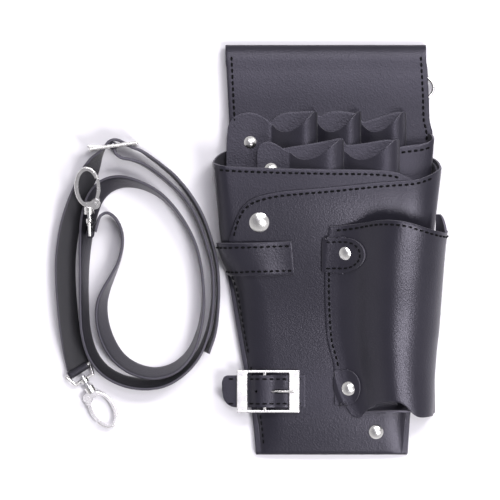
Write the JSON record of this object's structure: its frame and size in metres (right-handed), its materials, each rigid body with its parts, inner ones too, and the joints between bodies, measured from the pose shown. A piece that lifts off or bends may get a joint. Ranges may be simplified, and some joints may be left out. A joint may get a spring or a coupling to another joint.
{
  "type": "hair shears holster",
  "caption": "Leather-look belt holster for hair shears with loops, pockets, a buckled side pocket strap and a detachable shoulder strap with two swivel snap hooks.",
  "frame": {"origin": "on the back panel's rest face, at the middle of its width", "axes": "+Z out of the holster's front, +Y towards its top fold, +X to its right seen from the front"},
  "size_m": [0.2581, 0.269, 0.0552],
  "materials": {
    "leather": "smooth black leather-look coated fabric",
    "strap": "black leather-look strap",
    "nickel": "polished nickel plate"
  },
  "bodies": {
    "holster": {"back_panel": "leather", "belt_loop": "leather", "shears_loops_back": "leather", "shears_loops_front": "leather", "rear_pocket": "leather", "front_pocket": "leather", "front_overlay": "leather", "tool_band": "leather", "side_pocket": "leather", "side_pocket_base": "leather", "upper_tab": "leather", "lower_tab": "leather", "buckle_chape": "leather", "buckle_strap": "leather", "d_ring_chape_left": "leather", "d_ring_chape_right": "leather", "belt_rivets": "nickel", "overlay_snap": "nickel", "upper_tab_rivet": "nickel", "lower_tab_rivet": "nickel", "bottom_rivet": "nickel", "loop_rivet_back": "nickel", "loop_rivet_front": "nickel", "chape_rivets": "nickel", "buckle_frame": "nickel"},
    "pouch_prong": {"buckle_prong": "nickel"},
    "left_d_ring": {"d_ring_left": "nickel"},
    "right_d_ring": {"d_ring_right": "nickel"},
    "strap": {"strap_plain": "strap", "strap_holed": "strap", "strap_buckle_frame": "nickel"},
    "strap_prong": {"strap_buckle_prong": "nickel"},
    "eye_low_body": {"eye_low": "nickel"},
    "hook_low_body": {"swivel_post_low": "nickel", "hook_low": "nickel", "gate_pin_low": "nickel"},
    "gate_low_body": {"gate_low": "nickel"},
    "eye_high_body": {"eye_high": "nickel"},
    "hook_high_body": {"swivel_post_high": "nickel", "hook_high": "nickel", "gate_pin_high": "nickel"},
    "gate_high_body": {"gate_high": "nickel"}
  },
  "joints": [
    {"name": "pouch_prong_hinge", "type": "hinge", "parent": "holster", "child": "pouch_prong", "pos_m": [-0.041, -0.093, 0.013], "axis": [0, -1, 0], "range_deg": [0, 8]},
    {"name": "left_d_ring_hinge", "type": "hinge", "parent": "holster", "child": "left_d_ring", "pos_m": [-0.055, 0.107, 0.00385], "axis": [0, 1, 0], "range_deg": [-70, 9]},
    {"name": "right_d_ring_hinge", "type": "hinge", "parent": "holster", "child": "right_d_ring", "pos_m": [0.061, 0.107, 0.00385], "axis": [0, -1, 0], "range_deg": [-70, 9]},
    {"name": "strap_lift", "type": "slide", "parent": "holster", "child": "strap", "axis": [0, 0, 1], "range_m": [0, 0.08]},
    {"name": "strap_prong_hinge", "type": "hinge", "parent": "strap", "child": "strap_prong", "pos_m": [-0.1406, 0.0686, 0.0105], "axis": [0, 0, -1], "range_deg": [0, 14]},
    {"name": "eye_low_hinge", "type": "hinge", "parent": "strap", "child": "eye_low_body", "pos_m": [-0.16409, -0.07925, 0.0031], "axis": [0.848, 0.53, 0], "range_deg": [-60, 0]},
    {"name": "swivel_low", "type": "hinge", "parent": "eye_low_body", "child": "hook_low_body", "pos_m": [-0.158, -0.089, 0.0031], "axis": [0.53, -0.848, 0], "continuous": true},
    {"name": "gate_low_hinge", "type": "hinge", "parent": "hook_low_body", "child": "gate_low_body", "pos_m": [-0.1577, -0.09778, 0.0031], "axis": [0, 0, 1], "range_deg": [0, 24], "stiffness_Nm_per_rad": 0.02, "springref_deg": -11.46},
    {"name": "eye_high_hinge", "type": "hinge", "parent": "strap", "child": "eye_high_body", "pos_m": [-0.15571, 0.01127, 0.01416], "axis": [-0.0096, -0.1609, 0.9869], "range_deg": [-4, 1]},
    {"name": "swivel_high", "type": "hinge", "parent": "eye_high_body", "child": "hook_high_body", "pos_m": [-0.1564, 0.0226, 0.016], "axis": [-0.06, 0.9853, 0.16], "range_deg": [-10, 10]},
    {"name": "gate_high_hinge", "type": "hinge", "parent": "hook_high_body", "child": "gate_high_body", "pos_m": [-0.15246, 0.03034, 0.0173], "axis": [-0.0096, -0.1609, 0.9869], "range_deg": [0, 24], "stiffness_Nm_per_rad": 0.02, "springref_deg": -11.46}
  ]
}
